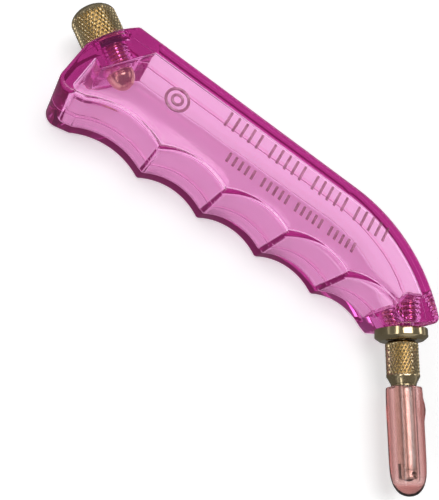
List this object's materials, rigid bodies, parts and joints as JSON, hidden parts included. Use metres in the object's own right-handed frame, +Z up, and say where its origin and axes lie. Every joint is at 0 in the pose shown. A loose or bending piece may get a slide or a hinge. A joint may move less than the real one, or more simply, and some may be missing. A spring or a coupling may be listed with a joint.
{
  "type": "glass cutter",
  "caption": "Pistol-grip glass cutter with a clear oil tank in its finger-grooved handle, a screwed filler cap, a knurled barrel, a sprung wheel head and a push-on tip sleeve.",
  "frame": {"origin": "centre of the bounding box's underside: the tool lies flat on one side of its grip", "axes": "+Z up through the grip's two side faces; the cutting head's axis runs along -Y; the grip leans away towards -X and +Y"},
  "size_m": [0.1056, 0.1238, 0.022],
  "materials": {
    "clear_acrylic": "polished transparent pink moulding",
    "brass": "turned and knurled, unlacquered",
    "steel": "turned",
    "carbide": "ground",
    "rubber": "matte black",
    "cotton": "twisted wick",
    "vinyl": "dipped translucent salmon vinyl"
  },
  "bodies": {
    "grip": {"grip_front_shell": "clear_acrylic", "grip_back_shell": "clear_acrylic", "head_socket": "brass", "socket_seal": "rubber"},
    "filler_seal": {"filler_cap_seal": "rubber"},
    "filler_cap": {"filler_cap": "brass"},
    "barrel_seal": {"barrel_seal": "rubber"},
    "barrel": {"head_barrel": "brass", "head_screw": "steel"},
    "valve": {"valve_stem": "brass", "valve_seal": "rubber", "valve_collar": "brass", "valve_spring": "steel"},
    "cutting_head": {"cutting_head": "steel", "wheel_axle": "steel", "oil_wick": "cotton"},
    "wheel": {"cutting_wheel": "carbide"},
    "sleeve": {"protective_cap": "vinyl"}
  },
  "joints": [
    {"name": "filler_cap_lift", "type": "slide", "parent": "grip", "child": "filler_seal", "axis": [-0.454, 0.891, 0], "range_m": [0, 0.0075]},
    {"name": "filler_cap_turn", "type": "hinge", "parent": "filler_seal", "child": "filler_cap", "pos_m": [-0.0394, 0.04961, 0.011], "axis": [-0.454, 0.891, 0], "range_deg": [0, 2712]},
    {"name": "barrel_back_off", "type": "slide", "parent": "grip", "child": "barrel_seal", "axis": [0, -1, 0], "range_m": [0, 0.004]},
    {"name": "barrel_turn", "type": "hinge", "parent": "barrel_seal", "child": "barrel", "pos_m": [0.0455, -0.0179, 0.011], "axis": [0, -1, 0], "range_deg": [0, 1810]},
    {"name": "head_press", "type": "slide", "parent": "barrel", "child": "valve", "axis": [0, 1, 0], "range_m": [0, 0.001], "stiffness_N_per_m": 1500, "springref_m": -0.001},
    {"name": "head_swivel", "type": "hinge", "parent": "valve", "child": "cutting_head", "pos_m": [0.0455, -0.0179, 0.011], "axis": [0, -1, 0], "range_deg": [-10, 10]},
    {"name": "wheel_spin", "type": "hinge", "parent": "cutting_head", "child": "wheel", "pos_m": [0.0455, -0.05609, 0.011], "axis": [0, 0, 1], "continuous": true},
    {"name": "sleeve_pull", "type": "slide", "parent": "barrel", "child": "sleeve", "axis": [0, -1, 0], "range_m": [0, 0.03]}
  ],
  "couplings": [
    {"joint": "filler_cap_turn", "follows": "filler_cap_lift", "rad_per_m": 6283.2},
    {"joint": "barrel_turn", "follows": "barrel_back_off", "rad_per_m": 7854}
  ]
}
